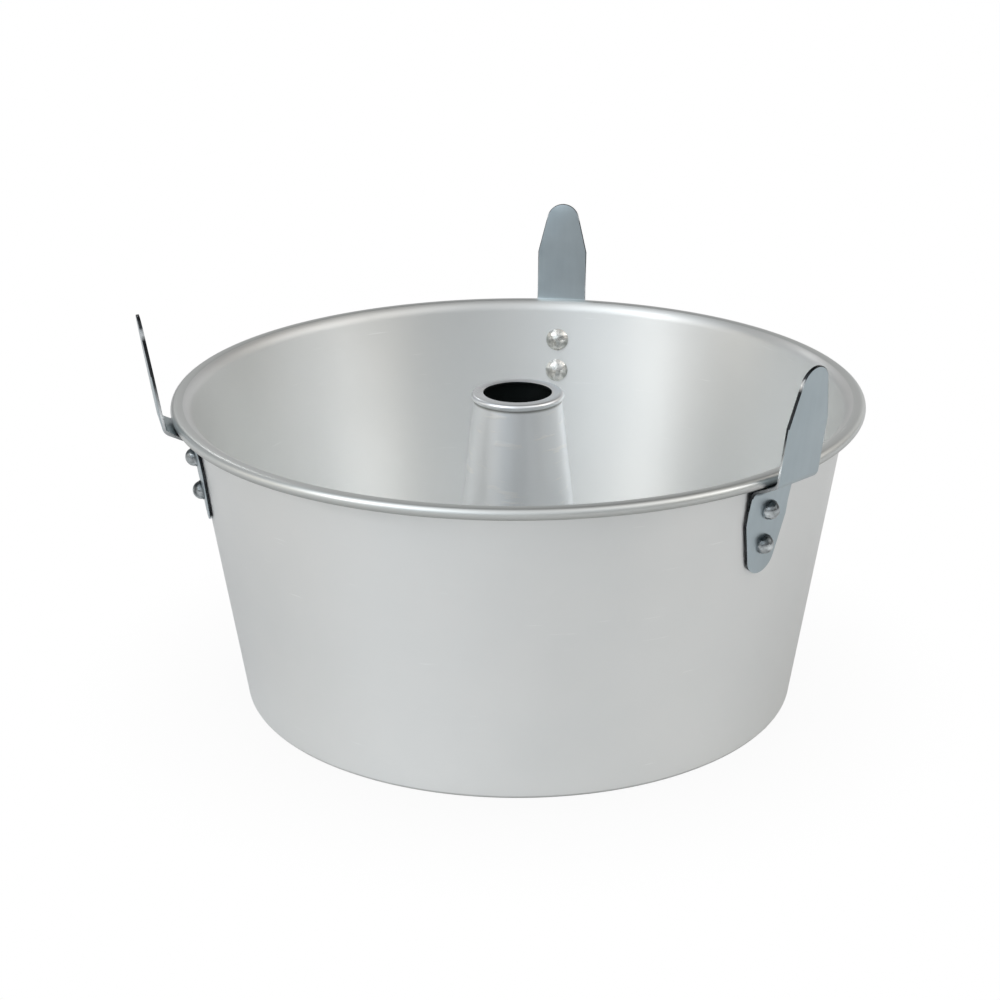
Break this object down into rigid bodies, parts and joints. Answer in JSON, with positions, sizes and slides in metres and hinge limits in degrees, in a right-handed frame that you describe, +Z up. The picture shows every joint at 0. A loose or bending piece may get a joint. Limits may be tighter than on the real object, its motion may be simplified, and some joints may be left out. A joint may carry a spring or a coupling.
{
  "type": "angel food cake pan",
  "caption": "Round tapered cake pan with a rolled rim, strap legs riveted to its wall, and a loose bottom with a centre tube that lifts out.",
  "frame": {"origin": "centre of the foot, on the pan's axis and on the plane that the pan stands on", "axes": "+Z up along the pan's axis, -Y towards the side that faces the picture's camera"},
  "size_m": [0.2609, 0.2633, 0.1531],
  "materials": {
    "pan_aluminium": "satin, spun",
    "tube_aluminium": "semi-bright",
    "leg_steel": "zinc plated",
    "rivet_metal": "bright"
  },
  "bodies": {
    "pan": {"pan_body": "pan_aluminium", "leg_front_right": "leg_steel", "leg_back": "leg_steel", "leg_left": "leg_steel", "rivet_front_right_upper": "rivet_metal", "rivet_front_right_lower": "rivet_metal", "rivet_back_upper": "rivet_metal", "rivet_back_lower": "rivet_metal", "rivet_left_upper": "rivet_metal", "rivet_left_lower": "rivet_metal"},
    "insert": {"base_plate": "pan_aluminium", "tube": "tube_aluminium"}
  },
  "joints": [
    {"name": "insert_lift", "type": "slide", "parent": "pan", "child": "insert", "axis": [0, 0, 1], "range_m": [0, 0.16]}
  ]
}
